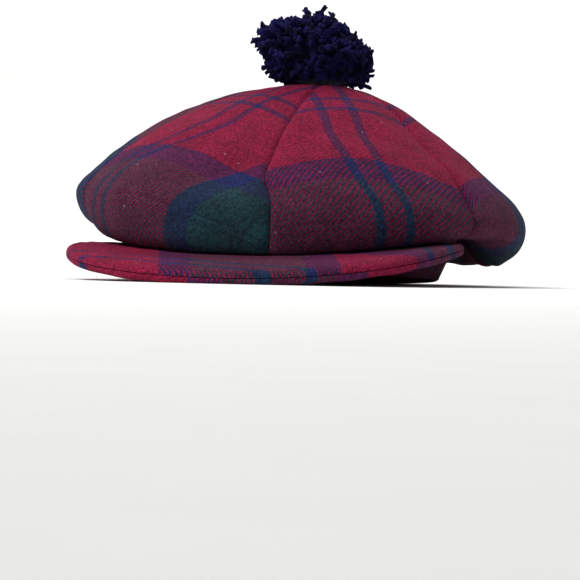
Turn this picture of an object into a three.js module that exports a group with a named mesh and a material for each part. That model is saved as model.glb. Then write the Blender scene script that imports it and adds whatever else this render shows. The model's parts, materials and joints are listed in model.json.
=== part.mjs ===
import * as THREE from 'three';

// A tam o shanter in tartan wool: six crown panels gathered on a headband, a short padded visor and a
// yarn pompom. Millimetres, +Z up. Every piece is drawn on the hat's own axes: x to the wearer's left,
// y to the back of the head, z up from the headband's lower edge. A bearing is the angle round the
// hat from the centre front, growing towards the wearer's left. At the end the whole hat is laid on a
// flat surface as it comes to rest: on the back of its headband and the front of its visor.

const CLOTH = 1.8;
const SEAM_GAP = 0.5;
const TOUCH_GAP = 0.35; // between pieces that are sewn or lie against each other, measured sideways
const LYING_GAP = 0.8; // between the crown's fold and the sloping visor under it
const PANELS = 6;
const DEGREE = Math.PI / 180;

// Ovals that the cloth passes through, one below the other, each seen from above: how far each
// reaches from the middle of the head.
const OVALS = {
  widest: { front: 109.5, left: 124.6, back: 126.5, right: 112 },
  fold: { front: 106.5, left: 113, back: 117.5, right: 97 },
  bandTop: { front: 102, left: 93.5, back: 112, right: 93.5 },
  bandFoot: { front: 100.2, left: 81.2, back: 100.2, right: 81.2 },
};

const BAND = { height: 28, wall: 2.2, lap: 0.6, segments: 72, levels: 3 };

// Bearings up to which the crown has its shape for lying on the visor, and beyond which it hangs.
const FRONT = { full: 30, none: 85 };

// The crown slumps to the wearer's left, so its centre, where the seams meet, is off the headband's.
// That crowds the seams together at the front left of the dome and spreads them at the back right:
// a seam lies at its even place plus turn plus sway times the cosine of its bearing from towards.
// Where the front turns over the shoulder, between two stations, the seam slips a little further.
const CROWN_TOP = { x: 21, y: 2.7, z: 103 };
const SKEW = { turn: -7 * DEGREE, sway: 8.7 * DEGREE, towards: 6 * DEGREE };
const SLIP = { turn: 3.4 * DEGREE, spread: 40 * DEGREE, from: 1.5, to: 1.9 };

// The crown a quarter turn apart, from the centre front: heights of the widest line and of the fold
// under it, how full the dome's shoulder is, as a share of the height above the widest line, and how
// far its top stays flat, as a share of the way out. At the front the fold lies on the visor instead,
// and its height comes from there.
const CROWN_SECTIONS = [
  { bearing: 0, widest: 27, fold: 12, shoulder: 0.6, flat: 0.28 },
  { bearing: 90, widest: 27, fold: 9, shoulder: 0.52, flat: 0.24 },
  { bearing: 180, widest: 36, fold: 15, shoulder: 0.58, flat: 0.28 },
  { bearing: 270, widest: 44, fold: 24, shoulder: 0.64, flat: 0.4 },
];

// Bearings up to which the fold lies fully on the visor, and beyond which it hangs clear of it.
const LIES_ON_VISOR = {
  left: { full: 66, none: 95 },
  right: { full: 45, none: 76 },
};

// The dome is two curves that meet at its shoulder. All are shares of the way out to the widest line
// or of the height above it.
const DOME = { tip: 0.03, shoulder: 0.65, handleOut: 0.15, handleUp: 0.165, steep: 0.16 };

// Below the widest line the crown turns under in two curves: the belly, down to the fold, and the
// tuck, back up to the headband. Their handles are shares of the way across, but drop is a depth.
const BELLY = { inward: { hanging: 0.7, lying: 0.45 }, turn: { hanging: 0.7, lying: 0.5 } };
const TUCK = { start: 0.5, inward: { hanging: 0.7, lying: 1 }, drop: 3.2, lyingTurn: 0.5 };

// Each panel stands proud of its seams by this much. The rise has grown full by one station, starts to
// fade at the next and is gone by the last.
const PUFF = { rise: 3.2, sharpness: 0.65, grown: 0.9, fades: 2.2, gone: 3 };

// Dents and lifts where the soft crown has settled; station counts from the crown's centre, 0, to
// the widest line, 2, the fold, 3, and the gathered edge, 4.
const SETTLING = [
  { bearing: -76, station: 1.45, spread: 9, reach: 0.3, lift: -3.2 },
  { bearing: -100, station: 1.2, spread: 16, reach: 0.4, lift: 2.2 },
  { bearing: 98, station: 1.35, spread: 11, reach: 0.25, lift: -2.6 },
  { bearing: 104, station: 2.55, spread: 9, reach: 0.3, lift: -3.4 },
  { bearing: -9, station: 1.55, spread: 7, reach: 0.22, lift: -2.6 },
  { bearing: 22, station: 1.5, spread: 15, reach: 0.35, lift: 2.4 },
  { bearing: -33, station: 1.7, spread: 13, reach: 0.4, lift: 2.6 },
  { bearing: 62, station: 0.45, spread: 34, reach: 0.3, lift: 1.2 },
  { bearing: 150, station: 1.5, spread: 14, reach: 0.35, lift: -2.8 },
  { bearing: 196, station: 1.7, spread: 18, reach: 0.4, lift: 2.4 },
];

const VISOR = {
  depth: 57, // from the headband to the front edge
  reach: 84, // bearing where it would fade into the headband
  ends: 81, // bearing where its seam ends
  roundness: 2.9,
  thick: 8,
  droop: Math.tan(10 * DEGREE),
  lift: { left: 5, right: 1.5 }, // how far its ends stand above its slope
  liftAt: 104,
  endThinner: 0.22,
  level: 60, // how soon the root levels out behind the front
  seam: 0.4,
};

const POMPOM = {
  x: 12.7, // it flops to the wearer's right of where it is tied
  y: 2.7,
  radius: 30.5,
  middle: 17, // height of its widest ring above the crown's centre
  up: 21,
  down: 24,
  lean: -0.14,
  above: 0.6, // clear of the crown
  rings: 14,
  sides: 26,
  lumps: { round: 0.03, sides: 5, tilted: 0.035, tiltedSides: 3, turn: 1 },
};

const COLOURS = {
  tartanWool: '#6d2440',
  visorWool: '#5d2540',
  bandWool: '#431a2e',
  yarn: '#14122a',
};

const lerp = THREE.MathUtils.lerp;
const smoothstep = THREE.MathUtils.smoothstep;

function onOval(oval, bearing, out = 0) {
  const [sideways, forwards] = [Math.sin(bearing), Math.cos(bearing)];
  const x = ((sideways > 0 ? oval.left : oval.right) + out) * sideways;
  const y = -((forwards > 0 ? oval.front : oval.back) + out) * forwards;
  return new THREE.Vector2(x, y);
}

function bezier(a, b, c, d, t) {
  const s = 1 - t;
  return s * s * s * a + 3 * s * s * t * b + 3 * s * t * t * c + t * t * t * d;
}

function onHeadband(bearing, height, out = 0) {
  const foot = onOval(OVALS.bandFoot, bearing, out);
  const top = onOval(OVALS.bandTop, bearing, out);
  return foot.lerp(top, THREE.MathUtils.clamp(height / BAND.height, 0, 1));
}

// The surface that the hat lies on, as a height on the hat's own axes. The wool gives a little.
const FLATTENED = 0.8;
const RESTS_AT = {
  back: OVALS.bandFoot.back,
  front: -(OVALS.bandFoot.front + VISOR.depth - VISOR.thick / 2),
};
const VISOR_LOW = VISOR.droop * (RESTS_AT.front + OVALS.bandFoot.front);
const PITCH = Math.atan(-VISOR_LOW / (RESTS_AT.back - RESTS_AT.front));

function surfaceUnder(y) {
  return FLATTENED + (y - RESTS_AT.back) * Math.tan(PITCH);
}

function visorFloor(x, y) {
  const behind = y + OVALS.bandFoot.front;
  const levelled = VISOR.level * (1 - Math.exp(-Math.max(behind, 0) / VISOR.level));
  const slope = VISOR.droop * (behind < 0 ? behind : levelled);
  return slope + VISOR.lift[x > 0 ? 'left' : 'right'] * (x / VISOR.liftAt) ** 2;
}

// Nearness to the front: 1 within a bearing from the centre front, easing to 0 at a wider one.
function frontness(bearing, full, none) {
  const turn = Math.abs(THREE.MathUtils.euclideanModulo(bearing + Math.PI, 2 * Math.PI) - Math.PI);
  return 1 - smoothstep(turn, full * DEGREE, none * DEGREE);
}

// A value from the table of crown sections, eased from each section to the next.
function sectionValue(column, bearing) {
  const quarter = THREE.MathUtils.euclideanModulo(bearing / DEGREE, 360) / 90;
  const from = CROWN_SECTIONS[Math.floor(quarter) % 4];
  const to = CROWN_SECTIONS[(Math.floor(quarter) + 1) % 4];
  return lerp(from[column], to[column], smoothstep(quarter % 1, 0, 1));
}

function foldHeight(bearing) {
  const { x, y } = onOval(OVALS.fold, bearing);
  const onVisor = visorFloor(x, y) + VISOR.thick + LYING_GAP;
  const lies = x > 0 ? LIES_ON_VISOR.left : LIES_ON_VISOR.right;
  return lerp(sectionValue('fold', bearing), onVisor, frontness(bearing, lies.full, lies.none));
}

function domeOut(bearing, station) {
  const flat = sectionValue('flat', bearing);
  return station <= 1
    ? bezier(DOME.tip, flat, DOME.shoulder - DOME.handleOut, DOME.shoulder, station)
    : bezier(DOME.shoulder, DOME.shoulder + DOME.handleOut, 1, 1, station - 1);
}

// Where a bearing of the evenly spaced panels lies on the crown.
function crownBearing(panelBearing, station) {
  const fromFront = THREE.MathUtils.euclideanModulo(panelBearing + Math.PI, 2 * Math.PI) - Math.PI;
  const slip = SLIP.turn * Math.exp(-((fromFront / SLIP.spread) ** 2));
  const skew = SKEW.turn + SKEW.sway * Math.cos(panelBearing - SKEW.towards);
  return panelBearing + skew + slip * smoothstep(station, SLIP.from, SLIP.to);
}

// A point of the smooth crown, before panels, puffs and dents.
function smoothCrown(panelBearing, station) {
  const bearing = crownBearing(panelBearing, station);
  const widest = onOval(OVALS.widest, bearing);
  const widestZ = sectionValue('widest', bearing);
  const near = frontness(bearing, FRONT.full, FRONT.none);
  if (station <= 2) {
    const shoulder = sectionValue('shoulder', bearing);
    const out = domeOut(bearing, station);
    const up = station <= 1
      ? bezier(1, 1, shoulder + DOME.handleUp, shoulder, station)
      : bezier(shoulder, shoulder - DOME.handleUp, DOME.steep, 0, station - 1);
    const x = lerp(CROWN_TOP.x, widest.x, out);
    const y = lerp(CROWN_TOP.y, widest.y, out);
    return new THREE.Vector3(x, y, lerp(widestZ, CROWN_TOP.z, up));
  }
  const fold = onOval(OVALS.fold, bearing);
  const foldZ = foldHeight(bearing);
  if (station <= 3) {
    const across = widest.distanceTo(fold);
    const inward = bezier(0, 0, lerp(BELLY.inward.hanging, BELLY.inward.lying, near), 1, station - 2);
    const turn = lerp(BELLY.turn.hanging, BELLY.turn.lying, near) * across;
    const turnZ = foldZ + Math.min(turn, (widestZ - foldZ) / 2);
    const z = bezier(widestZ, turnZ, foldZ, foldZ, station - 2);
    return new THREE.Vector3(lerp(widest.x, fold.x, inward), lerp(widest.y, fold.y, inward), z);
  }
  const edge = onOval(OVALS.bandTop, bearing, TOUCH_GAP);
  const edgeZ = BAND.height - BAND.lap;
  const across = fold.distanceTo(edge);
  const into = lerp(TUCK.inward.hanging, TUCK.inward.lying, near);
  const inward = bezier(0, TUCK.start, into, 1, station - 3);
  const turnZ = lerp(edgeZ - TUCK.drop, foldZ + TUCK.lyingTurn * across, near);
  const z = bezier(foldZ, foldZ, turnZ, edgeZ, station - 3);
  return new THREE.Vector3(lerp(fold.x, edge.x, inward), lerp(fold.y, edge.y, inward), z);
}

function crownNormal(bearing, station) {
  const step = 1e-3;
  const low = Math.max(station - step, 0);
  const high = Math.min(station + step, 4);
  const along = smoothCrown(bearing, high).sub(smoothCrown(bearing, low));
  const round = smoothCrown(bearing + step, station).sub(smoothCrown(bearing - step, station));
  return round.cross(along).normalize().negate();
}

function crownRise(bearing, station) {
  const acrossPanel = Math.abs(Math.sin((bearing * PANELS) / 2));
  const fade = smoothstep(station, 0, PUFF.grown) * (1 - smoothstep(station, PUFF.fades, PUFF.gone));
  let rise = PUFF.rise * Math.pow(acrossPanel, PUFF.sharpness) * fade;
  for (const dent of SETTLING) {
    const at = crownBearing(bearing, station) / DEGREE;
    const turn = THREE.MathUtils.euclideanModulo(at - dent.bearing + 180, 360) - 180;
    const away = (turn / dent.spread) ** 2 + ((station - dent.station) / dent.reach) ** 2;
    rise += dent.lift * Math.exp(-away);
  }
  return rise;
}

function crownPoint(bearing, station, depth) {
  const out = crownRise(bearing, station) - depth;
  return smoothCrown(bearing, station).addScaledVector(crownNormal(bearing, station), out);
}

// The crown's height over a point of the dome, found from the line on which the point lies.
function crownOver(x, y) {
  const heading = (to) => Math.atan2(to.x - CROWN_TOP.x, CROWN_TOP.y - to.y);
  const between = (angle) => THREE.MathUtils.euclideanModulo(angle + Math.PI, 2 * Math.PI) - Math.PI;
  const tries = 30;
  let bearing = heading({ x, y });
  let panelBearing = bearing;
  for (let i = 0; i < tries; i += 1) {
    const off = heading({ x, y }) - heading(onOval(OVALS.widest, bearing));
    bearing += 0.7 * between(off);
    panelBearing += bearing - crownBearing(panelBearing, 0);
  }
  const reach = onOval(OVALS.widest, bearing).distanceTo(new THREE.Vector2(CROWN_TOP.x, CROWN_TOP.y));
  const share = Math.hypot(x - CROWN_TOP.x, y - CROWN_TOP.y) / reach;
  let [low, high] = [0, 1];
  for (let i = 0; i < tries; i += 1) {
    const middle = (low + high) / 2;
    if (domeOut(bearing, middle) < share) low = middle;
    else high = middle;
  }
  return crownPoint(panelBearing, low, 0).z;
}

// A closed body from a grid of points on its outer face and a like grid on its inner face.
function platedBody(outer, inner) {
  const rows = outer.length;
  const columns = outer[0].length;
  const points = [...outer.flat(), ...inner.flat()];
  const behind = rows * columns;
  const faces = [];
  const quad = (a, b, c, d) => faces.push(a, b, c, a, c, d);
  for (let r = 0; r < rows - 1; r += 1) {
    for (let c = 0; c < columns - 1; c += 1) {
      const at = r * columns + c;
      quad(at, at + 1, at + columns + 1, at + columns);
      quad(behind + at, behind + at + columns, behind + at + columns + 1, behind + at + 1);
    }
    const left = r * columns;
    const right = left + columns - 1;
    quad(left, left + columns, behind + left + columns, behind + left);
    quad(right, behind + right, behind + right + columns, right + columns);
  }
  for (let c = 0; c < columns - 1; c += 1) {
    const low = (rows - 1) * columns + c;
    quad(c, behind + c, behind + c + 1, c + 1);
    quad(low, low + 1, behind + low + 1, behind + low);
  }
  return facingOut(points, faces);
}

// A closed body from rings of points, each ring a section; the last ring joins the first.
function ringBody(sections) {
  const count = sections.length;
  const corners = sections[0].length;
  const faces = [];
  for (let s = 0; s < count; s += 1) {
    const next = (s + 1) % count;
    for (let c = 0; c < corners; c += 1) {
      const over = (c + 1) % corners;
      const [a, b] = [s * corners + c, s * corners + over];
      const [d, e] = [next * corners + c, next * corners + over];
      faces.push(a, b, e, a, e, d);
    }
  }
  return facingOut(sections.flat(), faces);
}

// A closed body from stacked rings with one point at each end.
function stackedBody(bottom, rings, top) {
  const sides = rings[0].length;
  const points = [bottom, ...rings.flat(), top];
  const last = points.length - 1;
  const faces = [];
  for (let c = 0; c < sides; c += 1) {
    const over = (c + 1) % sides;
    faces.push(0, 1 + over, 1 + c);
    const crown = 1 + (rings.length - 1) * sides;
    faces.push(last, crown + c, crown + over);
    for (let r = 0; r < rings.length - 1; r += 1) {
      const [low, high] = [1 + r * sides, 1 + (r + 1) * sides];
      faces.push(low + c, low + over, high + over, low + c, high + over, high + c);
    }
  }
  return facingOut(points, faces);
}

function facingOut(points, faces) {
  let volume = 0;
  for (let f = 0; f < faces.length; f += 3) {
    const [a, b, c] = [points[faces[f]], points[faces[f + 1]], points[faces[f + 2]]];
    volume += a.dot(new THREE.Vector3().crossVectors(b, c));
  }
  const ordered = volume > 0 ? faces : faces.toReversed();
  const geometry = new THREE.BufferGeometry().setFromPoints(points);
  geometry.setIndex(ordered);
  geometry.computeVertexNormals();
  return geometry;
}

function piece(name, geometry, colour, roughness = 0.95) {
  const material = new THREE.MeshStandardMaterial({ color: colour, roughness, metalness: 0 });
  const mesh = new THREE.Mesh(geometry, material);
  mesh.name = name;
  return mesh;
}

// Crown panel: a wedge of wool, tapered to the crown's centre, puffed between its seams, folded back
// under itself and gathered on to the headband's upper edge.
function crownPanel(index) {
  const columns = 8;
  const rowsIn = [5, 6, 6, 4];
  const start = (index * 2 * Math.PI) / PANELS;
  const end = ((index + 1) * 2 * Math.PI) / PANELS;
  const stations = [0];
  rowsIn.forEach((rows, stretch) => {
    for (let r = 1; r <= rows; r += 1) stations.push(stretch + r / rows);
  });
  const grid = (depth) => stations.map((station) => {
    const step = 1e-3;
    const round = smoothCrown(start + step, station).distanceTo(smoothCrown(start - step, station));
    const clear = (SEAM_GAP / 2) * ((2 * step) / round);
    return Array.from({ length: columns + 1 }, (_, c) => {
      const bearing = lerp(start + clear, end - clear, c / columns);
      return crownPoint(bearing, station, depth);
    });
  });
  return platedBody(grid(0), grid(CLOTH));
}

// Headband: one strip of wool, wider round at its upper edge, with a flat lower edge.
function headband() {
  const sections = [];
  for (let s = 0; s < BAND.segments; s += 1) {
    const bearing = (s * 2 * Math.PI) / BAND.segments;
    const outside = [];
    const inside = [];
    for (let level = 0; level <= BAND.levels; level += 1) {
      const height = (BAND.height * level) / BAND.levels;
      const out = onHeadband(bearing, height);
      const back = onHeadband(bearing, height, -BAND.wall);
      outside.push(new THREE.Vector3(out.x, out.y, Math.max(height, surfaceUnder(out.y))));
      inside.unshift(new THREE.Vector3(back.x, back.y, Math.max(height, surfaceUnder(back.y))));
    }
    sections.push([...outside, ...inside]);
  }
  return ringBody(sections);
}

// One half of the visor, split along its edge seam: the cover over the top or the one underneath.
// It is flat from the headband out, then turns round the edge in a quarter circle.
function visorHalf(side) {
  const columns = 30;
  const flatShares = [0, 0.25, 0.5, 0.75, 0.93, 1];
  const edgeTurns = [30, 60, 90];
  const thinnest = 0.25;
  const middle = VISOR.thick / 2;
  const round = middle - VISOR.seam / 2;
  const point = (bearing, away, height) => {
    const root = onOval(OVALS.bandFoot, bearing);
    const outward = new THREE.Vector2(Math.sin(bearing), -Math.cos(bearing));
    const rootHeight = visorFloor(root.x, root.y) + middle + height;
    const clear = onHeadband(bearing, rootHeight, TOUCH_GAP).sub(root).dot(outward);
    const spot = root.addScaledVector(outward, Math.max(away, clear));
    const z = visorFloor(spot.x, spot.y) + middle + height;
    return new THREE.Vector3(spot.x, spot.y, Math.max(z, surfaceUnder(spot.y)));
  };
  const skin = [];
  const split = [];
  const row = (awayOf, thicknessOf) => {
    const across = Array.from({ length: columns + 1 }, (_, c) => {
      const bearing = lerp(-VISOR.ends, VISOR.ends, c / columns) * DEGREE;
      const ends = Math.abs(bearing) / (VISOR.reach * DEGREE);
      const depth = VISOR.depth * (1 - Math.pow(ends, VISOR.roundness));
      const thickness = round * (1 - VISOR.endThinner * ends * ends);
      return { bearing, away: awayOf(depth, Math.min(round, depth)), thickness };
    });
    const seam = (side * VISOR.seam) / 2;
    skin.push(across.map(({ bearing, away, thickness }) => (
      point(bearing, away, seam + side * Math.max(thickness * thicknessOf, thinnest))
    )));
    split.push(across.map(({ bearing, away }) => point(bearing, away, seam)));
  };
  flatShares.forEach((share) => row((depth, edge) => share * (depth - edge), 1));
  edgeTurns.forEach((turn) => {
    const [out, up] = [Math.sin(turn * DEGREE), Math.cos(turn * DEGREE)];
    row((depth, edge) => depth - edge + edge * out, up);
  });
  return platedBody(skin, split);
}

// Pompom: the outer form of a cut-yarn ball, lying over to one side of the crown's centre and
// flattened where it touches the crown.
function pompom() {
  const { x: middleX, y: middleY, lumps } = POMPOM;
  const rings = [];
  for (let r = 1; r < POMPOM.rings; r += 1) {
    const tilt = -Math.PI / 2 + (Math.PI * r) / POMPOM.rings;
    const ring = [];
    for (let c = 0; c < POMPOM.sides; c += 1) {
      const bearing = (c * 2 * Math.PI) / POMPOM.sides;
      const across = lumps.round * Math.sin(lumps.sides * bearing);
      const tilted = lumps.tilted * Math.sin(lumps.tiltedSides * bearing + lumps.turn) * Math.cos(2 * tilt);
      const lumpy = 1 + across + tilted;
      const radius = POMPOM.radius * Math.cos(tilt) * lumpy;
      const [x, y] = [middleX + radius * Math.sin(bearing), middleY - radius * Math.cos(bearing)];
      const tall = Math.sin(tilt) * (tilt > 0 ? POMPOM.up : POMPOM.down) * lumpy;
      const leaning = CROWN_TOP.z + POMPOM.middle + tall + POMPOM.lean * (x - middleX);
      ring.push(new THREE.Vector3(x, y, Math.max(leaning, crownOver(x, y) + POMPOM.above)));
    }
    rings.push(ring);
  }
  const bottom = new THREE.Vector3(middleX, middleY, crownOver(middleX, middleY) + POMPOM.above);
  const top = new THREE.Vector3(middleX, middleY, CROWN_TOP.z + POMPOM.middle + POMPOM.up);
  return stackedBody(bottom, rings, top);
}

const tam = new THREE.Group();
for (let index = 0; index < PANELS; index += 1) {
  tam.add(piece(`crown_panel_${index + 1}`, crownPanel(index), COLOURS.tartanWool));
}
tam.add(piece('headband', headband(), COLOURS.bandWool));
tam.add(piece('visor_top', visorHalf(1), COLOURS.visorWool));
tam.add(piece('visor_under', visorHalf(-1), COLOURS.visorWool));
tam.add(piece('pompom', pompom(), COLOURS.yarn));
tam.rotation.x = -PITCH;

const hat = new THREE.Group();
hat.add(tam);
hat.updateMatrixWorld(true);
const extent = new THREE.Box3().setFromObject(hat, true);
const middle = extent.getCenter(new THREE.Vector3());
tam.position.set(-middle.x, -middle.y, -extent.min.z);

export default hat;
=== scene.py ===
import json
import math

import bpy
import numpy as np
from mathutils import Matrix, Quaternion, Vector


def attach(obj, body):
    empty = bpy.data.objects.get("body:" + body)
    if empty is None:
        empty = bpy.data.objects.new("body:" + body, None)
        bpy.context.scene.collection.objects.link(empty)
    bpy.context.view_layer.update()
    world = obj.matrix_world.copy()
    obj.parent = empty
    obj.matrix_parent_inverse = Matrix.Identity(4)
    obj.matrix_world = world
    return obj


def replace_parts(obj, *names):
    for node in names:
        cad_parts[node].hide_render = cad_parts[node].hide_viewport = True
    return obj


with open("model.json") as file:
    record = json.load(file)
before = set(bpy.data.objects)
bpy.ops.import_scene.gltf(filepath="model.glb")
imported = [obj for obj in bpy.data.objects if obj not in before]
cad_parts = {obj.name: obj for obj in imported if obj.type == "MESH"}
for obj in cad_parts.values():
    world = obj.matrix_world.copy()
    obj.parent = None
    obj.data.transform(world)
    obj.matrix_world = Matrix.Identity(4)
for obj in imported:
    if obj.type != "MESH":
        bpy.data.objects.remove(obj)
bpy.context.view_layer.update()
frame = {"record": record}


# How the hat lies. It rests on the back of its headband and the front of its visor, so it is tipped
# back a little. Pieces are worked out in millimetres on the hat's own axes, x to the wearer's
# left, y to the back and z up from the headband's lower edge, and are then laid down by laid().

EDGE_MOUNT_AT = np.array([80.1, 0.0, 0.0])

edge_mount = next(m for m in frame["record"]["mounts"] if m["name"] == "headband_edge")
hat_up = -np.array(edge_mount["axis"])
HAT_AXES = np.array([[1, 0, 0], [0, hat_up[2], -hat_up[1]], hat_up])
HAT_PLACE = np.array(edge_mount["pos_m"]) - EDGE_MOUNT_AT @ HAT_AXES / 1000


def laid(points):
    """Points on the hat's axes in mm, as points in the room in metres."""
    return points @ HAT_AXES / 1000 + HAT_PLACE


# The crown: six tapering panels of brushed tartan wool, seamed to each other from the centre out,
# turned under at the rim and gathered back in to the top of the headband. Soft and unlined, so it
# slumps to the wearer's left and shows shallow dents.

CLOTH = 1.8
SEAM_GAP = 0.08
PANELS = 6

# How far each oval that the cloth passes through reaches to the front, left, back and right.
OVALS = {
    "widest": (109.5, 124.6, 126.5, 112.0),
    "fold": (106.5, 113.0, 117.5, 97.0),
    "band_top": (102.0, 93.5, 112.0, 93.5),
    "band_foot": (100.2, 81.2, 100.2, 81.2),
}
BAND_HEIGHT = 28.0
BAND_LAP = 0.6
TOUCH_GAP = 0.35
CROWN_TOP = np.array([21.0, 2.7, 103.0])
SKEW_TURN = math.radians(-7)
SKEW_SWAY = math.radians(8.7)
SKEW_TOWARDS = math.radians(6)
SEAM_SLIP = math.radians(3.4)
SEAM_SLIP_SPREAD = 40

# Heights and shares a quarter turn apart, from the front round by the wearer's left.
WIDEST_UP = (27, 27, 36, 44)
FOLD_UP = (12, 9, 15, 24)
SHOULDER_UP = (0.6, 0.52, 0.58, 0.64)
FLAT_OUT = (0.28, 0.24, 0.28, 0.4)

LIES_LEFT = (66, 95)
LIES_RIGHT = (45, 76)
FRONT = (30, 85)
VISOR_DROOP = math.tan(math.radians(10))
VISOR_THICK = 8.0
VISOR_LEVEL = 60.0
LYING_GAP = 0.8

# Dents and lifts: bearing, station, spread in degrees, reach in stations, lift in mm.
SETTLING = (
    (-76, 1.45, 9, 0.3, -3.2),
    (-100, 1.2, 16, 0.4, 2.2),
    (98, 1.35, 11, 0.25, -2.6),
    (104, 2.55, 9, 0.3, -3.4),
    (-9, 1.55, 7, 0.22, -2.6),
    (22, 1.5, 15, 0.35, 2.4),
    (-33, 1.7, 13, 0.4, 2.6),
    (62, 0.45, 34, 0.3, 1.2),
    (150, 1.5, 14, 0.35, -2.8),
    (196, 1.7, 18, 0.4, 2.4),
)
PUFF = 3.2


def ease(value, low, high):
    share = np.clip((value - low) / (high - low), 0, 1)
    return share * share * (3 - 2 * share)


def mix(a, b, share):
    return a + (b - a) * share


def bezier(a, b, c, d, t):
    s = 1 - t
    return s * s * s * a + 3 * s * s * t * b + 3 * s * t * t * c + t * t * t * d


def on_oval(name, bearing, out=0.0):
    front, left, back, right = OVALS[name]
    sideways, forwards = np.sin(bearing), np.cos(bearing)
    x = (np.where(sideways > 0, left, right) + out) * sideways
    y = -(np.where(forwards > 0, front, back) + out) * forwards
    return np.stack([x, y], -1)


def turned(bearing, middle=0.0):
    """A bearing in radians as degrees away from a middle one, from -180 to 180."""
    return (np.degrees(bearing) - middle + 180) % 360 - 180


def quarterly(heights, bearing):
    """A height from a table of four, eased from each quarter turn to the next."""
    quarter = np.degrees(bearing) / 90 % 4
    before = np.floor(quarter).astype(int) % 4
    heights = np.array(heights, float)
    return mix(heights[before], heights[(before + 1) % 4], ease(quarter % 1, 0, 1))


def visor_floor(x, y):
    """Height of the visor's underside, which slopes down to the front and lifts at its ends."""
    behind = y + OVALS["band_foot"][0]
    levelled = VISOR_LEVEL * (1 - np.exp(-np.maximum(behind, 0) / VISOR_LEVEL))
    slope = VISOR_DROOP * np.where(behind < 0, behind, levelled)
    return slope + np.where(x > 0, 5, 1.5) * (x / 104) ** 2


def fold_up(bearing):
    x, y = np.moveaxis(on_oval("fold", bearing), -1, 0)
    on_visor = visor_floor(x, y) + VISOR_THICK + LYING_GAP
    turn = np.abs(turned(bearing))
    lies = np.where(x > 0, 1 - ease(turn, *LIES_LEFT), 1 - ease(turn, *LIES_RIGHT))
    return mix(quarterly(FOLD_UP, bearing), on_visor, lies)


def crown_bearing(panel_bearing, station):
    """Where a bearing of the evenly spaced panels lies on the skewed crown."""
    skew = SKEW_TURN + SKEW_SWAY * np.cos(panel_bearing - SKEW_TOWARDS)
    slip = SEAM_SLIP * np.exp(-((turned(panel_bearing) / SEAM_SLIP_SPREAD) ** 2))
    return panel_bearing + skew + slip * ease(station, 1.5, 1.9)


def smooth_crown(panel_bearing, station):
    """The crown before its panels puff or settle. Station counts from the centre, 0, over the dome's
    shoulder, 1, to the widest line, 2, the fold, 3, and the gathered edge, 4."""
    bearing = crown_bearing(panel_bearing, station)
    widest, fold = on_oval("widest", bearing), on_oval("fold", bearing)
    widest_up, folded_up = quarterly(WIDEST_UP, bearing), fold_up(bearing)
    shoulder, flat = quarterly(SHOULDER_UP, bearing), quarterly(FLAT_OUT, bearing)
    near = 1 - ease(np.abs(turned(bearing)), *FRONT)
    inner, outer, belly, tuck = (np.clip(station - k, 0, 1) for k in range(4))

    out = np.where(station <= 1, bezier(0.03, flat, 0.5, 0.65, inner), bezier(0.65, 0.8, 1, 1, outer))
    up = np.where(
        station <= 1,
        bezier(1, 1, shoulder + 0.165, shoulder, inner),
        bezier(shoulder, shoulder - 0.165, 0.16, 0, outer),
    )
    dome = np.concatenate([
        mix(CROWN_TOP[:2], widest, out[..., None]),
        mix(widest_up, CROWN_TOP[2], up)[..., None],
    ], -1)

    across = np.linalg.norm(widest - fold, axis=-1)
    inward = bezier(0, 0, mix(0.7, 0.45, near), 1, belly)
    turn_up = folded_up + np.minimum(mix(0.7, 0.5, near) * across, (widest_up - folded_up) / 2)
    under = np.concatenate([
        mix(widest, fold, inward[..., None]),
        bezier(widest_up, turn_up, folded_up, folded_up, belly)[..., None],
    ], -1)

    edge = on_oval("band_top", bearing, TOUCH_GAP)
    edge_up = BAND_HEIGHT - BAND_LAP
    across = np.linalg.norm(fold - edge, axis=-1)
    inward = bezier(0, 0.5, mix(0.7, 1, near), 1, tuck)
    turn_up = mix(edge_up - 3.2, folded_up + 0.5 * across, near)
    tucked = np.concatenate([
        mix(fold, edge, inward[..., None]),
        bezier(folded_up, folded_up, turn_up, edge_up, tuck)[..., None],
    ], -1)
    station = station[..., None]
    return np.where(station <= 2, dome, np.where(station <= 3, under, tucked))


def unit(vectors):
    return vectors / np.linalg.norm(vectors, axis=-1, keepdims=True)


def crown_normal(bearing, station):
    step = 1e-3
    low, high = np.maximum(station - step, 0), np.minimum(station + step, 4)
    along = smooth_crown(bearing, high) - smooth_crown(bearing, low)
    round_it = smooth_crown(bearing + step, station) - smooth_crown(bearing - step, station)
    return -unit(np.cross(round_it, along))


def settled(bearing, station):
    """How far the cloth stands out from the smooth crown: each panel's puff, dents and lifts."""
    puff = PUFF * np.abs(np.sin(bearing * PANELS / 2)) ** 0.65
    rise = puff * ease(station, 0, 0.9) * (1 - ease(station, 2.2, 3))
    at = crown_bearing(bearing, station)
    for middle, height, spread, reach, lift in SETTLING:
        away = (turned(at, middle) / spread) ** 2 + ((station - height) / reach) ** 2
        rise = rise + lift * np.exp(-away)
    return rise


def plated(outer, inner):
    """Vertices and faces of a closed body between an outer grid of points and a like inner one."""
    rows, columns = outer.shape[:2]
    points = np.concatenate([outer.reshape(-1, 3), inner.reshape(-1, 3)])
    at = np.arange(rows * columns).reshape(rows, columns)
    behind = at + rows * columns
    skin = np.stack([at[:-1, :-1], at[1:, :-1], at[1:, 1:], at[:-1, 1:]], -1).reshape(-1, 4)
    lining = np.stack([behind[:-1, :-1], behind[:-1, 1:], behind[1:, 1:], behind[1:, :-1]], -1)
    rim = np.concatenate([at[0, :-1], at[:-1, -1], at[-1, :0:-1], at[:0:-1, 0]])
    following = np.roll(rim, -1)
    edges = np.stack([rim, following, following + rows * columns, rim + rows * columns], -1)
    return points, np.concatenate([skin, lining.reshape(-1, 4), edges])


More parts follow.
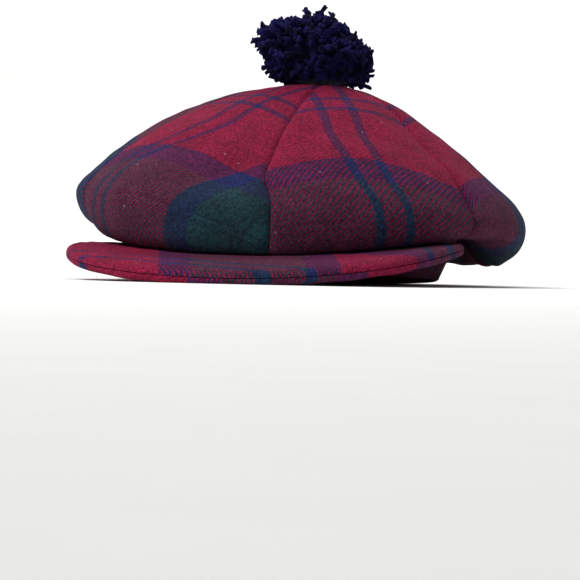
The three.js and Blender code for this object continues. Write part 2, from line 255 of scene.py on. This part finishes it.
def make_piece(name, points, faces, cloth_places=None):
    """A smooth mesh object from points in the room; cloth_places are metres along and across the
    cloth's threads at each point."""
    mesh = bpy.data.meshes.new(name)
    mesh.from_pydata(points.tolist(), [], list(faces))
    mesh.polygons.foreach_set("use_smooth", np.ones(len(mesh.polygons), bool))
    if cloth_places is not None:
        corners = np.empty(len(mesh.loops), int)
        mesh.loops.foreach_get("vertex_index", corners)
        layer = mesh.uv_layers.new(name="cloth")
        layer.uv.foreach_set("vector", cloth_places[corners].astype(np.float32).ravel())
    mesh.update()
    piece = bpy.data.objects.new(name, mesh)
    bpy.context.scene.collection.objects.link(piece)
    return piece


# Where each panel is cut from the cloth: where the middle of a pair of thin stripes runs across it
# and along it, how far the cloth has been pulled askew by its lower edge, all in mm, and the share of
# the panel's width that the cloth had before steam and tension spread it.
CUTS = (
    (-9, 48, -13, 0.8),
    (-64, 44, 0, 1),
    (-5, 50, 10, 1),
    (8, 46, 0, 1),
    (-60, 49, 0, 1),
    (6, 55, 50, 1),
)
ASKEW_FROM = 75
ASKEW_TO = 160
COLUMNS = 72
ROWS_BETWEEN = (34, 44, 34, 24)
SEAM_ROLL = 1.5
SEAM_ROLL_DEPTH = 1.0


def panel_grid(index):
    """Bearings and stations of a panel's points, with columns drawn closer near its seams."""
    stations = np.concatenate(
        [[0]] + [k + np.arange(1, rows + 1) / rows for k, rows in enumerate(ROWS_BETWEEN)]
    )
    spaced = np.linspace(-1, 1, COLUMNS + 1)
    spaced = mix(spaced, np.sin(spaced * math.pi / 2), 0.55)
    half = math.pi / PANELS
    station = np.repeat(stations[:, None], COLUMNS + 1, 1)
    middle = (2 * index + 1) * half
    step = 1e-3
    low = smooth_crown(np.full(len(stations), middle - half - step), stations)
    high = smooth_crown(np.full(len(stations), middle - half + step), stations)
    clear = SEAM_GAP / 2 * 2 * step / np.linalg.norm(high - low, axis=-1)
    bearing = middle + spaced[None, :] * (half - clear[:, None])
    return bearing, station


def cloth_places(bearing, station, cut):
    """Where each point of a panel lies on the flat cloth, in mm across and along the threads."""
    across_at, along_at, askew, unspread = cut
    points = smooth_crown(bearing, station)
    steps = np.linalg.norm(np.diff(points, axis=1), axis=-1)
    across = np.concatenate([np.zeros((len(points), 1)), np.cumsum(steps, 1)], 1)
    across -= across[:, [across.shape[1] // 2]]
    reach = np.linalg.norm(points[..., :2] - CROWN_TOP[:2], axis=-1)
    lengths = np.linalg.norm(np.diff(points, axis=0), axis=-1)
    splay = np.diff(reach, axis=0) / np.maximum(lengths, 1e-9)
    off_middle = (bearing - bearing[:, [bearing.shape[1] // 2]])[:-1]
    along = np.concatenate([
        np.zeros((1, points.shape[1])), np.cumsum(np.cos(off_middle * splay) * lengths, 0)
    ])
    warp = across * unspread - across_at + askew * ease(along, ASKEW_FROM, ASKEW_TO)
    return np.stack([warp, along - along_at], -1)


def soft_ripple(points, wavelength, height, seed):
    """A gentle unevenness, as the sum of a few waves in seeded directions."""
    rng = np.random.default_rng(seed)
    total = np.zeros(points.shape[:-1])
    for _ in range(7):
        direction = unit(rng.normal(size=3)) * rng.uniform(0.7, 1.4)
        total += np.sin(points @ direction * 2 * math.pi / wavelength + rng.uniform(0, 2 * math.pi))
    return total * height / 7 ** 0.5


def crown_panel(index):
    bearing, station = panel_grid(index)
    smooth = smooth_crown(bearing, station)
    normal = crown_normal(bearing, station)
    steps = np.linalg.norm(np.diff(smooth, axis=1), axis=-1)
    from_left = np.concatenate([np.zeros((len(smooth), 1)), np.cumsum(steps, 1)], 1)
    to_seam = np.minimum(from_left, from_left[:, -1:] - from_left)
    rise = settled(bearing, station) + soft_ripple(smooth, 34, 0.5, 3) + soft_ripple(smooth, 11, 0.14, 4)
    rise = rise - SEAM_ROLL_DEPTH * np.exp(-((to_seam / SEAM_ROLL) ** 2))
    outer = smooth + normal * rise[..., None]
    inner = smooth + normal * (rise - CLOTH)[..., None]
    points, faces = plated(outer, inner)
    places = cloth_places(bearing, station, CUTS[index]).reshape(-1, 2) / 1000
    name = f"crown_panel_{index + 1}_cloth"
    piece = make_piece(name, laid(points), faces, np.concatenate([places, places]))
    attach(piece, "root")
    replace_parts(piece, f"crown_panel_{index + 1}")
    return piece


def linear(hex_colour):
    """An sRGB hex colour as the linear colour that a shader takes."""
    channels = np.array([int(hex_colour[i:i + 2], 16) for i in (1, 3, 5)]) / 255
    flat = np.where(channels <= 0.04045, channels / 12.92, ((channels + 0.055) / 1.055) ** 2.4)
    return (*flat.tolist(), 1.0)


def add(material, kind, inputs=None, stops=None, **settings):
    """Adds a shader node. An input is a value, a socket, or a node whose first output it takes; stops
    are the places and colours of a colour ramp."""
    tree = material.node_tree
    made = tree.nodes.new("ShaderNode" + kind)
    for name, value in settings.items():
        setattr(made, name, value)
    for name, value in (inputs or {}).items():
        if isinstance(value, bpy.types.Node):
            value = value.outputs[0]
        if isinstance(value, bpy.types.NodeSocket):
            tree.links.new(value, made.inputs[name])
        else:
            made.inputs[name].default_value = value
    for number, (place, colour) in enumerate(stops or ()):
        ramp = made.color_ramp
        stop = ramp.elements[number] if number < 2 else ramp.elements.new(place)
        stop.position, stop.color = place, colour
    return made


def blank_material(name):
    material = bpy.data.materials.new(name)
    material.use_nodes = True
    material.node_tree.nodes.clear()
    return material


# Brushed 2/2 twill, woollen yarn in three colours, the same order of stripes in warp and weft. To the
# eye: flat saturated patches where like meets like, hatched mixtures where they cross, fine diagonal
# ridges, a soft nap and hardly any shine.
THREAD = 0.64
FIELD = 54.0
THIN_FROM, THIN_TO = 4.4, 7.9
NAVY_EDGE = 13.0
WIDE = 72.0
half_repeat = FIELD + WIDE / 2
RED_WOOL = "#8c1038"
NAVY_WOOL = "#13265a"
GREEN_WOOL = "#163d43"
DARK_LINE = "#12303c"


def tartan_wool(name):
    material = blank_material(name)
    place = add(material, "UVMap", uv_map="cloth")
    place = add(material, "VectorMath", {0: place, 1: (1000 / THREAD,) * 3}, operation="MULTIPLY")
    # The hand of the cloth is never quite straight: threads wander by a fraction of their width.
    room = add(material, "TexCoord").outputs["Object"]
    wander = add(material, "TexNoise", {"Vector": room, "Scale": 90.0, "Detail": 2.0})
    wander = add(material, "VectorMath", {0: wander.outputs["Color"], 1: (0.5, 0.5, 0.5)},
                 operation="SUBTRACT")
    wander = add(material, "VectorMath", {0: wander, "Scale": 1.6}, operation="SCALE")
    place = add(material, "VectorMath", {0: place, 1: wander}, operation="ADD")
    threads = add(material, "SeparateXYZ", {0: place})

    red, navy, green, dark = (linear(c) for c in (RED_WOOL, NAVY_WOOL, GREEN_WOOL, DARK_LINE))
    stripes = [
        (0.0, red), (THIN_FROM, navy), (THIN_TO, red), (FIELD, navy), (FIELD + NAVY_EDGE, green),
        (half_repeat - 3.0, dark), (half_repeat - 1.2, green),
    ]
    colours, beside = [], []
    for axis in (0, 1):
        thread = add(material, "Math", {0: threads.outputs[axis]}, operation="FLOOR")
        beside.append(add(material, "Math", {0: threads.outputs[axis]}, operation="FRACT"))
        middle = add(material, "Math", {0: thread, 1: 0.5}, operation="ADD")
        folded = add(material, "Math", {0: middle, 1: half_repeat / THREAD}, operation="PINGPONG")
        share = add(material, "Math", {0: folded, 1: half_repeat / THREAD}, operation="DIVIDE")
        ramp = add(material, "ValToRGB", {0: share},
                   stops=[(at / half_repeat, colour) for at, colour in stripes])
        ramp.color_ramp.interpolation = "CONSTANT"
        colours.append((thread, ramp))
    crossing = add(material, "Math", {0: colours[0][0], 1: colours[1][0]}, operation="ADD")
    quarter = add(material, "Math", {0: crossing, 1: 0.25}, operation="MULTIPLY")
    phase = add(material, "Math", {0: quarter}, operation="FRACT")
    warp_up = add(material, "Math", {0: phase, 1: 0.49}, operation="LESS_THAN")

    # Rounded backs of the threads, and the ridge that each diagonal of floats makes.
    backs = [
        add(material, "Math", {0: add(material, "Math", {0: side, 1: math.pi}, operation="MULTIPLY")},
            operation="SINE")
        for side in beside
    ]
    back = add(material, "Mix", {0: warp_up, 2: backs[1], 3: backs[0]}, data_type="FLOAT")

    # Nap: short fibres brushed up from every thread blur the hatching and catch a little light.
    fine = add(material, "TexNoise", {"Vector": room, "Scale": 2600.0, "Detail": 3.0, "Roughness": 0.7})
    fuzz = add(material, "TexNoise", {"Vector": room, "Scale": 760.0, "Detail": 3.0, "Roughness": 0.6})
    patches = add(material, "TexNoise", {"Vector": room, "Scale": 70.0, "Detail": 4.0})
    mean = add(material, "Mix", {0: 0.5, 6: colours[1][1], 7: colours[0][1]}, data_type="RGBA")
    shown = add(material, "Mix", {0: warp_up, 6: colours[1][1], 7: colours[0][1]}, data_type="RGBA")
    # Where yarns of two colours cross, each shades the other.
    shaded = add(material, "Mix", {0: 0.6, 6: mean.outputs[2], 7: shown.outputs[2]},
                 data_type="RGBA", blend_type="DARKEN")
    both = add(material, "Mix", {0: 1.0, 6: colours[1][1], 7: colours[0][1]},
               data_type="RGBA", blend_type="DARKEN")
    shaded = add(material, "Mix", {0: 0.5, 6: shaded.outputs[2], 7: both.outputs[2]}, data_type="RGBA")
    blurred = add(material, "Mix", {0: 0.5, 6: shown.outputs[2], 7: shaded.outputs[2]},
                  data_type="RGBA")
    # Painted shade and light: the colour is darkened in the gaps between threads and lightened on their
    # rounded backs.
    light = add(material, "MapRange", {0: back, 3: 0.6, 4: 1.12})
    speck = add(material, "MapRange", {0: fine, 1: 0.32, 2: 0.68, 3: 0.35, 4: 1.6})
    mottle = add(material, "MapRange", {0: fuzz, 1: 0.36, 2: 0.64, 3: 0.55, 4: 1.5})
    patch = add(material, "MapRange", {0: patches, 1: 0.3, 2: 0.7, 3: 0.8, 4: 1.2})
    for factor in (speck, mottle, patch):
        light = add(material, "Math", {0: light, 1: factor}, operation="MULTIPLY")
    colour = add(material, "VectorMath", {0: blurred.outputs[2], "Scale": light}, operation="SCALE")
    # Rare small pale specks scattered over the nap.
    pale_speck_cells = add(material, "TexVoronoi", {"Vector": room, "Scale": 260.0, "Randomness": 1.0})
    rare = add(material, "SeparateColor", {0: pale_speck_cells.outputs["Color"]})
    chosen = add(material, "Math", {0: rare, 1: 0.972}, operation="GREATER_THAN")
    near = add(material, "Math", {0: pale_speck_cells.outputs["Distance"], 1: 0.13}, operation="LESS_THAN")
    pale_speck_mask = add(material, "Math", {0: chosen, 1: near}, operation="MULTIPLY")
    pale_speck_mask = add(material, "Math", {0: pale_speck_mask, 1: 0.5}, operation="MULTIPLY")
    colour = add(material, "Mix", {0: pale_speck_mask, 6: colour, 7: linear("#b9a6ae")}, data_type="RGBA")

    height = add(material, "Math", {0: back, 1: 0.55}, operation="MULTIPLY")
    height = add(material, "Math", {0: height, 1: fuzz}, operation="ADD")
    raised = add(material, "Bump", {"Strength": 0.8, "Distance": 0.0009, "Height": height})
    surface = add(material, "BsdfPrincipled", {
        "Base Color": colour.outputs[2], "Roughness": 0.92, "Specular IOR Level": 0.18,
        "Sheen Weight": 0.12, "Sheen Roughness": 0.55, "Sheen Tint": linear("#a0508c"),
        "Normal": raised,
    })
    add(material, "OutputMaterial", {"Surface": surface})
    return material


crown_wool = tartan_wool("brushed_twill_tartan_wool")
for index in range(PANELS):
    panel = crown_panel(index)
    panel.data.materials.append(crown_wool)


# The headband: one strip of the same wool, folded under at its lower edge and closed by a seam at the
# back. It is wider round at its top, where the crown is gathered to it.

BAND_WALL = 2.2
BAND_COLUMNS, BAND_ROWS = 360, 10
BAND_SEAM = math.radians(180)
BAND_SEAM_WIDTH = math.radians(0.8)
BAND_SEAM_DEPTH = 1.1
BAND_CUT = (36, 40)


def resting(y):
    """Height of the floor under the tipped hat, on the hat's own axes."""
    return 0.8 + (y - OVALS["band_foot"][2]) * math.tan(hat_tip)


def on_band(bearing, height, out=0.0):
    foot, top = on_oval("band_foot", bearing, out), on_oval("band_top", bearing, out)
    return mix(foot, top, np.clip(height / BAND_HEIGHT, 0, 1)[..., None])


hat_tip = math.atan(HAT_AXES[2, 1] / HAT_AXES[2, 2])
round_band = np.linspace(-math.pi, math.pi, BAND_COLUMNS + 1)
# Once round the section of the wall: up the outside, over, down the inside and round the folded edge.
corner = np.radians(np.arange(15, 90, 15))
fold_in = np.concatenate([1 - np.sin(corner), [0]]) * BAND_WALL / 2
fold_rise = (1 - np.concatenate([np.cos(corner), [0]])) * BAND_WALL / 2
level = np.linspace(BAND_WALL / 2, BAND_HEIGHT, BAND_ROWS)
section_in = np.concatenate([fold_in, np.zeros(BAND_ROWS - 1), np.full(BAND_ROWS, BAND_WALL),
                             BAND_WALL - fold_in[::-1]])
section_up = np.concatenate([fold_rise[:-1], level, level[::-1], fold_rise[:-1][::-1]])
section_in = section_in[:len(section_up)]
bearing = np.repeat(round_band[None, :-1], len(section_up), 0)
seam = BAND_SEAM_DEPTH * np.exp(-(((np.abs(bearing) - BAND_SEAM) / BAND_SEAM_WIDTH) ** 2))
height = np.repeat(section_up[:, None], BAND_COLUMNS, 1)
band = on_band(bearing, height, -section_in[:, None] - seam * (section_in[:, None] < BAND_WALL / 2))
up = np.maximum(height, resting(band[..., 1]))
band_points = np.concatenate([band, up[..., None]], -1)
at = np.arange(bearing.size).reshape(bearing.shape)
after, above = np.roll(at, -1, 1), np.roll(at, -1, 0)
band_faces = np.stack([at, after, np.roll(after, -1, 0), above], -1).reshape(-1, 4)
arc = bearing * (OVALS["band_foot"][1] + OVALS["band_foot"][0]) / 2
band_places = np.stack([arc - BAND_CUT[0], height - BAND_CUT[1]], -1).reshape(-1, 2) / 1000
headband = make_piece("headband_cloth", laid(band_points.reshape(-1, 3)), band_faces, band_places)
headband.data.materials.append(crown_wool)
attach(headband, "root")
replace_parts(headband, "headband")


# The visor: a stiff curved insert between two covers of the wool, which meet in a seam round its
# edge. A pinched line runs round near the edge, where the covers are sewn through.

VISOR_DEPTH = 57.0
VISOR_REACH = math.radians(84)
VISOR_ENDS = math.radians(81)
VISOR_ROUNDNESS = 2.9
VISOR_SEAM = 0.4
VISOR_THINNER_ENDS = 0.22
VISOR_THINNEST = 0.25
STITCH_IN = 5.0
STITCH_WIDTH = 1.1
STITCH_DEPTH = 0.75

# Across the visor, places in mm and what lies there along the cloth's repeat. The wide stripe is
# spread here to 88 mm, so its threads are drawn a fifth coarser than on the crown.
VISOR_ACROSS = (-104, -47, 41, 104)
CLOTH_ACROSS = (-WIDE / 2 - 53, -WIDE / 2, WIDE / 2, WIDE / 2 + 64)
VISOR_WEFT_TURN = math.radians(20)
VISOR_WEFT_AT = 134
FOOT_MIDDLE = OVALS["band_foot"][0]


def visor_cover(name, side, shift):
    half_round = VISOR_THICK / 2 - VISOR_SEAM / 2
    bearing = np.linspace(-VISOR_ENDS, VISOR_ENDS, 301)[None, :]
    ends = np.abs(bearing) / VISOR_REACH
    depth = VISOR_DEPTH * (1 - ends ** VISOR_ROUNDNESS)
    edge = np.minimum(half_round, depth)
    share = np.linspace(0, 1, 56)[:, None] ** 0.85
    over = np.radians(np.linspace(0, 90, 14))[1:, None]
    away = np.concatenate([share * (depth - edge), depth - edge + edge * np.sin(over)])
    thick = np.concatenate([np.ones((len(share), bearing.shape[1])),
                            np.repeat(np.cos(over), bearing.shape[1], 1)])
    thick = half_round * (1 - VISOR_THINNER_ENDS * ends ** 2) * thick
    bearing = np.repeat(bearing, len(away), 0)
    from_edge = depth - away
    pinch = STITCH_DEPTH * np.exp(-(((from_edge - STITCH_IN) / STITCH_WIDTH) ** 2))
    thick = np.maximum(thick - pinch, VISOR_THINNEST)
    outward = np.stack([np.sin(bearing), -np.cos(bearing)], -1)
    root = on_oval("band_foot", bearing)

    def spot(side_up):
        placed = np.zeros(away.shape)
        for _ in range(2):
            place = root + outward * np.maximum(away, placed)[..., None]
            up = visor_floor(place[..., 0], place[..., 1]) + VISOR_THICK / 2 + side_up
            clear = on_band(bearing, up, TOUCH_GAP) - root
            placed = (clear * outward).sum(-1)
        place = root + outward * np.maximum(away, placed)[..., None]
        up = visor_floor(place[..., 0], place[..., 1]) + VISOR_THICK / 2 + side_up
        return np.concatenate([place, np.maximum(up, resting(place[..., 1]))[..., None]], -1)

    ripple = soft_ripple(np.stack([*np.moveaxis(root, -1, 0), away], -1), 13, 0.12, 8 + side)
    skin = spot(side * (VISOR_SEAM / 2 + thick + ripple * (thick > 1)))
    split = spot(np.full(away.shape, side * VISOR_SEAM / 2))
    points, faces = plated(skin, split)
    x, y = skin[..., 0], skin[..., 1]
    across = np.interp(x + 0.25 * (y + FOOT_MIDDLE) - shift, VISOR_ACROSS, CLOTH_ACROSS)
    weft = x * math.sin(VISOR_WEFT_TURN) + y * math.cos(VISOR_WEFT_TURN) + VISOR_WEFT_AT
    places = np.stack([across + half_repeat, weft], -1).reshape(-1, 2) / 1000
    cover = make_piece(name, laid(points), faces, np.concatenate([places, places]))
    cover.data.materials.append(crown_wool)
    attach(cover, "root")
    return cover


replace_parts(visor_cover("visor_top_cover", 1, 0), "visor_top")
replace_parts(visor_cover("visor_under_cover", -1, 14), "visor_under")


# The pompom: lengths of soft three-ply yarn tied together at the middle and cut, so their ends stand out
# all round and hide the tie. It lies over to one side and is pressed flat where it meets the crown.

POMPOM_MIDDLE = np.array([12.7, 2.7, CROWN_TOP[2] + 17])
POMPOM_REACH = np.array([30.0, 30.0, 22.5])
POMPOM_LEAN = -0.14
STRANDS = 560
STRAND_STEPS = 7
PLIES = 3
PLY_RADIUS = 1.16
PLY_TWIST = 8.5
POMPOM_CLEAR = 0.9
PACKED = 0.42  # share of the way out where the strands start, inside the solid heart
HEART = 0.8
NUDGE = 0.085
BEND = 0.2
TUFT = 0.05
rng = np.random.default_rng(21)

near_top = smooth_crown(*(np.meshgrid(np.linspace(0, 2 * math.pi, 140), np.linspace(0, 1.2, 60))))
near_top = near_top.reshape(-1, 3)


def crown_height(points):
    """Height of the crown under each of some points."""
    heights = []
    for batch in np.array_split(points, max(1, len(points) // 400)):
        gap = ((batch[:, None, :2] - near_top[None, :, :2]) ** 2).sum(-1)
        heights.append(near_top[gap.argmin(1), 2])
    return np.concatenate(heights) + PUFF


# Directions spread evenly over a ball, then nudged.
number = np.arange(STRANDS) + 0.5
polar = np.arccos(1 - 2 * number / STRANDS)
turn = math.pi * (1 + 5 ** 0.5) * number
ways = np.stack([np.cos(turn) * np.sin(polar), np.sin(turn) * np.sin(polar), np.cos(polar)], -1)
ways = unit(ways + rng.normal(scale=NUDGE, size=ways.shape))
lengths = rng.uniform(0.9, 1.05, STRANDS) + 0.07 * (rng.random(STRANDS) < 0.16)
lengths += TUFT * np.sin(ways[:, 0] * 5.1 + 1) * np.sin(ways[:, 1] * 4.3 + 2)
lengths += TUFT * np.sin(ways[:, 2] * 6)
bends = rng.normal(scale=BEND, size=(STRANDS, 3))
fractions = np.linspace(PACKED, 1, STRAND_STEPS)
axis = ways[:, None, :] * fractions[None, :, None] * lengths[:, None, None]
axis = axis + bends[:, None, :] * ((fractions - PACKED) ** 2)[None, :, None]
axis = axis * POMPOM_REACH
axis[..., 2] += POMPOM_LEAN * axis[..., 0]
axis = axis + POMPOM_MIDDLE
floor_up = crown_height(axis.reshape(-1, 3)).reshape(axis.shape[:2]) + PLY_RADIUS * 1.5 + POMPOM_CLEAR
axis[..., 2] = np.maximum(axis[..., 2], floor_up)

along_axis = unit(np.gradient(axis, axis=1))
side_on = unit(np.cross(along_axis, [0.31, 0.52, 0.79]))
other = np.cross(along_axis, side_on)
run = np.concatenate([np.zeros((STRANDS, 1)),
                      np.cumsum(np.linalg.norm(np.diff(axis, axis=1), axis=-1), 1)], 1)
SIDES = 5
round_ply = np.arange(SIDES) * 2 * math.pi / SIDES
yarn_points, yarn_faces = [], []
start = 0
for ply in range(PLIES):
    twist = 2 * math.pi * (run / PLY_TWIST + ply / PLIES) + rng.uniform(0, 6, (STRANDS, 1))
    spread = PLY_RADIUS * (0.92 + 0.35 * (fractions > 0.93))[None, :, None]
    core = axis + spread * (np.cos(twist)[..., None] * side_on + np.sin(twist)[..., None] * other)
    core = core + along_axis * rng.uniform(-0.8, 1.2, (STRANDS, 1, 1))
    fat = PLY_RADIUS * rng.uniform(0.9, 1.18, (STRANDS, STRAND_STEPS, 1, 1))
    fat[:, -1] *= 0.8
    tube = core[:, :, None, :] + fat * (
        np.cos(round_ply)[:, None] * side_on[:, :, None, :]
        + np.sin(round_ply)[:, None] * other[:, :, None, :]
    )
    yarn_points.append(tube.reshape(-1, 3))
    at = start + np.arange(STRANDS * STRAND_STEPS * SIDES).reshape(STRANDS, STRAND_STEPS, SIDES)
    beside = np.roll(at, -1, 2)
    yarn_faces += np.stack([at[:, :-1], beside[:, :-1], beside[:, 1:], at[:, 1:]], -1).reshape(-1, 4).tolist()
    yarn_faces += at[:, -1].tolist() + at[:, 0, ::-1].tolist()
    start += at.size
pompom_points = np.concatenate(yarn_points)

# Under the ends the yarn is made as one solid heart.
HEART_RINGS, HEART_SIDES = 20, 30
tilt = np.linspace(-math.pi / 2, math.pi / 2, HEART_RINGS + 1)[:, None]
spin = np.arange(HEART_SIDES)[None, :] * 2 * math.pi / HEART_SIDES
heart = np.stack([np.cos(tilt) * np.cos(spin), np.cos(tilt) * np.sin(spin), np.sin(tilt) + 0 * spin], -1)
heart = heart * POMPOM_REACH * HEART
heart[..., 2] += POMPOM_LEAN * heart[..., 0]
heart = heart + POMPOM_MIDDLE
heart_floor = crown_height(heart.reshape(-1, 3)).reshape(heart.shape[:2]) + 0.5
heart[..., 2] = np.maximum(heart[..., 2], heart_floor)
at = start + np.arange(heart[..., 0].size).reshape(HEART_RINGS + 1, HEART_SIDES)
beside = np.roll(at, -1, 1)
yarn_faces += np.stack([at[:-1], beside[:-1], beside[1:], at[1:]], -1).reshape(-1, 4).tolist()
pompom_points = np.concatenate([pompom_points, heart.reshape(-1, 3)])


# Soft matt wool yarn, dyed a navy so dark that only the tops of the curls show its blue; that blue is a
# painted highlight on scattered tufts.
YARN_DARK = "#0c0b20"
YARN_HIGHLIGHT = "#1d1b50"


def yarn(name):
    material = blank_material(name)
    room = add(material, "TexCoord").outputs["Object"]
    fibres = add(material, "TexNoise", {"Vector": room, "Scale": 1700.0, "Detail": 4.0})
    highlight_tufts = add(material, "TexNoise", {"Vector": room, "Scale": 110.0, "Detail": 2.0})
    # Painted highlight: a paler blue on scattered tufts, for the tops of the curls in the light.
    dye_and_highlight = add(material, "ValToRGB", {0: highlight_tufts},
              stops=[(0.35, linear(YARN_DARK)), (0.65, linear(YARN_HIGHLIGHT))])
    light = add(material, "MapRange", {0: fibres, 1: 0.3, 2: 0.7, 3: 0.6, 4: 1.35})
    colour = add(material, "VectorMath", {0: dye_and_highlight, "Scale": light}, operation="SCALE")
    raised = add(material, "Bump", {"Strength": 0.7, "Distance": 0.0005, "Height": fibres})
    surface = add(material, "BsdfPrincipled", {
        "Base Color": colour, "Roughness": 0.95, "Specular IOR Level": 0.08, "Sheen Weight": 0.05,
        "Sheen Roughness": 0.5, "Sheen Tint": linear("#3a3a78"), "Normal": raised,
    })
    add(material, "OutputMaterial", {"Surface": surface})
    return material


pompom = make_piece("pompom_yarn", laid(pompom_points), yarn_faces)
pompom.data.materials.append(yarn("soft_three_ply_wool_yarn"))
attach(pompom, "root")
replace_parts(pompom, "pompom")


# The studio: a pale floor that sweeps up into a pale backdrop, one large soft light overhead and a
# little to the front, and light from all round.

LOOKS_FROM = (0.191, -1.0675, 0.0095)
LOOKS_AT = (-0.0045, 0.0142, -0.0040)
LENS = 126.3
ROLL = math.radians(1.2)

sweep_points = []
for across in (-3.0, 3.0):
    sweep_points.append([(across, y, z) for y, z in
                         ((-3, 0), (1.2, 0), (1.7, 0.06), (2.1, 0.3), (2.3, 0.8), (2.35, 3.0))])
rows = len(sweep_points[0])
floor = make_piece("studio_sweep", np.concatenate(sweep_points),
                   [(k, k + rows, k + rows + 1, k + 1) for k in range(rows - 1)])
paper = blank_material("matt_white_paper")
grain = add(paper, "TexNoise", {"Scale": 400.0, "Detail": 2.0})
tone = add(paper, "ValToRGB", {0: grain}, stops=[(0.4, linear("#f3f2f0")), (0.6, linear("#f4f3f1"))])
add(paper, "OutputMaterial", {"Surface": add(paper, "BsdfPrincipled", {
    "Base Color": tone, "Roughness": 0.9, "Specular IOR Level": 0.1})})
floor.data.materials.append(paper)

world = bpy.data.worlds.new("studio")
bpy.context.scene.world = world
world.use_nodes = True
world.node_tree.nodes["Background"].inputs["Color"].default_value = linear("#f2f4f8")
world.node_tree.nodes["Background"].inputs["Strength"].default_value = 0.28


def soft_light(name, at, width, power, at_point=(0, 0, 0.05)):
    lamp = bpy.data.lights.new(name, "AREA")
    lamp.shape, lamp.size, lamp.energy = "DISK", width, power
    holder = bpy.data.objects.new(name, lamp)
    holder.location = at
    aim = Vector(at_point) - Vector(at)
    holder.rotation_euler = aim.to_track_quat("-Z", "Y").to_euler()
    bpy.context.scene.collection.objects.link(holder)


soft_light("backdrop", (0, 0.9, 1.9), 1.2, 34, at_point=(0, 2.2, 0.3))
soft_light("overhead", (-0.75, -0.6, 1.35), 0.8, 22)
soft_light("front", (-0.6, -1.5, 1.0), 0.9, 2.5)

lens = bpy.data.cameras.new("camera")
lens.lens, lens.clip_start = LENS, 0.02
camera = bpy.data.objects.new("camera", lens)
camera.location = LOOKS_FROM
toward = Vector(LOOKS_AT) - Vector(LOOKS_FROM)
camera.rotation_euler = (toward.to_track_quat("-Z", "Y") @ Quaternion((0, 0, 1), ROLL)).to_euler()
bpy.context.scene.collection.objects.link(camera)
bpy.context.scene.camera = camera
bpy.context.scene.view_settings.view_transform = "Standard"
